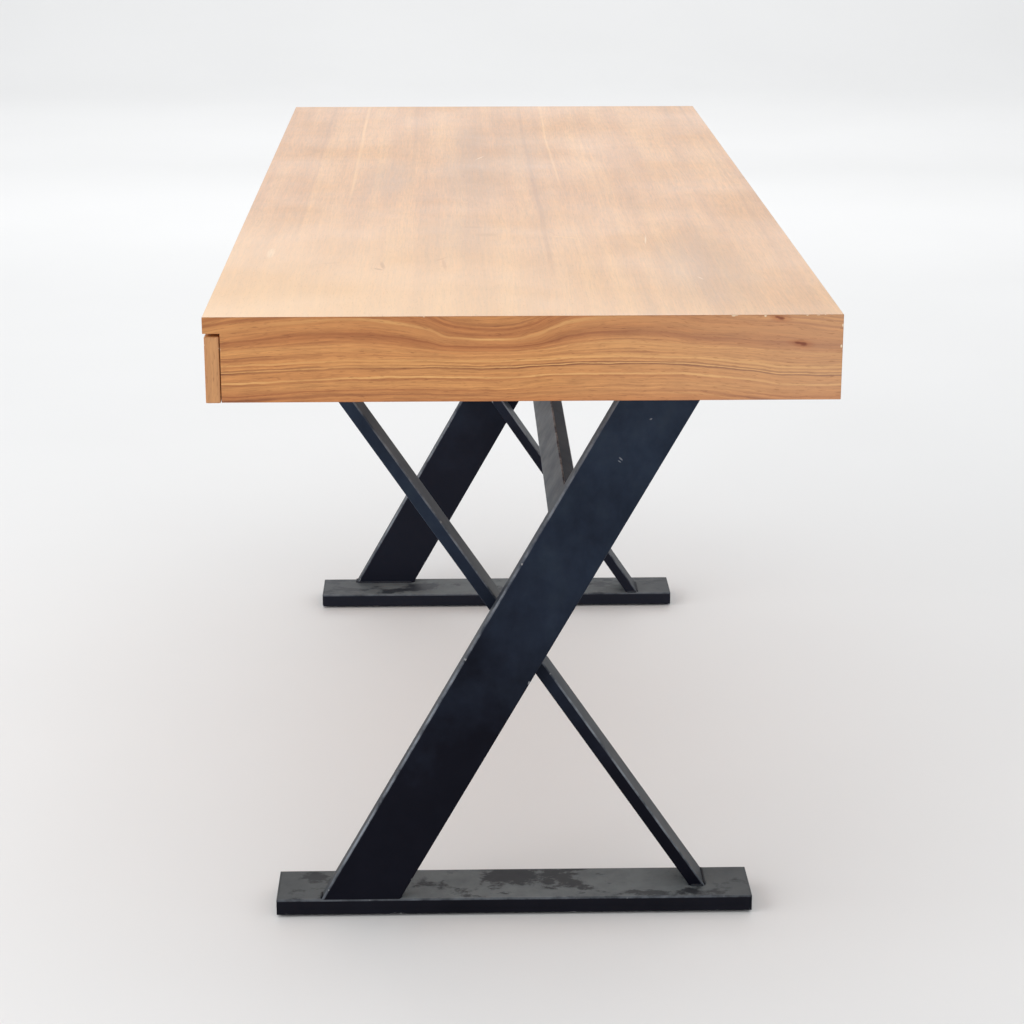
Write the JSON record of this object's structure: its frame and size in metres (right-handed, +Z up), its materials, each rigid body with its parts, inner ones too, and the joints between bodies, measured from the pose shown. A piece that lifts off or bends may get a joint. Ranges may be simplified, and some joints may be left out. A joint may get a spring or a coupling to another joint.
{
  "type": "writing desk",
  "caption": "Fixed height writing desk: shallow veneered box top with overlay drawers on two welded X frames of flat black steel tube joined by a leaning stretcher.",
  "frame": {"origin": "centre of the desk's outline on the floor", "axes": "+X along the desk's length, -Y towards the drawer fronts and the sitter, +Z up"},
  "size_m": [1.6, 0.644, 0.76],
  "materials": {
    "veneer": "satin oiled wood veneer",
    "core_board": "stained board",
    "drawer_board": "clear lacquered ply",
    "black_steel": "satin powder coat",
    "zinc_rail": "zinc plated",
    "fastener": "black zinc plated",
    "glide": "matt nylon"
  },
  "bodies": {
    "desk": {"top_panel": "veneer", "right_end_panel": "veneer", "left_end_panel": "veneer", "back_panel": "veneer", "bottom_panel": "core_board", "right_divider": "core_board", "left_divider": "core_board", "cabinet_rails": "zinc_rail", "stretcher": "black_steel", "right_foot": "black_steel", "right_top_rail": "black_steel", "right_tube_end_plates": "black_steel", "right_wide_leg": "black_steel", "right_narrow_leg": "black_steel", "right_frame_bolts": "fastener", "right_glides": "glide", "right_stretcher_plate": "black_steel", "right_stretcher_bolts": "fastener", "left_foot": "black_steel", "left_top_rail": "black_steel", "left_tube_end_plates": "black_steel", "left_wide_leg": "black_steel", "left_narrow_leg": "black_steel", "left_frame_bolts": "fastener", "left_glides": "glide", "left_stretcher_plate": "black_steel", "left_stretcher_bolts": "fastener"},
    "left_drawer": {"left_drawer_front": "veneer", "left_drawer_inner_front": "drawer_board", "left_drawer_left_side": "drawer_board", "left_drawer_right_side": "drawer_board", "left_drawer_back": "drawer_board", "left_drawer_bottom": "drawer_board", "left_drawer_inner_rails": "zinc_rail", "left_drawer_front_screws": "fastener"},
    "left_middle_rails": {"left_drawer_middle_rails": "zinc_rail"},
    "centre_drawer": {"centre_drawer_front": "veneer", "centre_drawer_inner_front": "drawer_board", "centre_drawer_left_side": "drawer_board", "centre_drawer_right_side": "drawer_board", "centre_drawer_back": "drawer_board", "centre_drawer_bottom": "drawer_board", "centre_drawer_inner_rails": "zinc_rail", "centre_drawer_front_screws": "fastener"},
    "centre_middle_rails": {"centre_drawer_middle_rails": "zinc_rail"},
    "right_drawer": {"right_drawer_front": "veneer", "right_drawer_inner_front": "drawer_board", "right_drawer_left_side": "drawer_board", "right_drawer_right_side": "drawer_board", "right_drawer_back": "drawer_board", "right_drawer_bottom": "drawer_board", "right_drawer_inner_rails": "zinc_rail", "right_drawer_front_screws": "fastener"},
    "right_middle_rails": {"right_drawer_middle_rails": "zinc_rail"}
  },
  "joints": [
    {"name": "left_drawer_slide", "type": "slide", "parent": "desk", "child": "left_drawer", "axis": [0, -1, 0], "range_m": [0, 0.45]},
    {"name": "left_rail_slide", "type": "slide", "parent": "desk", "child": "left_middle_rails", "axis": [0, -1, 0], "range_m": [0, 0.225]},
    {"name": "centre_drawer_slide", "type": "slide", "parent": "desk", "child": "centre_drawer", "axis": [0, -1, 0], "range_m": [0, 0.45]},
    {"name": "centre_rail_slide", "type": "slide", "parent": "desk", "child": "centre_middle_rails", "axis": [0, -1, 0], "range_m": [0, 0.225]},
    {"name": "right_drawer_slide", "type": "slide", "parent": "desk", "child": "right_drawer", "axis": [0, -1, 0], "range_m": [0, 0.45]},
    {"name": "right_rail_slide", "type": "slide", "parent": "desk", "child": "right_middle_rails", "axis": [0, -1, 0], "range_m": [0, 0.225]}
  ],
  "couplings": [
    {"joint": "left_rail_slide", "follows": "left_drawer_slide", "ratio": 0.5},
    {"joint": "centre_rail_slide", "follows": "centre_drawer_slide", "ratio": 0.5},
    {"joint": "right_rail_slide", "follows": "right_drawer_slide", "ratio": 0.5}
  ]
}
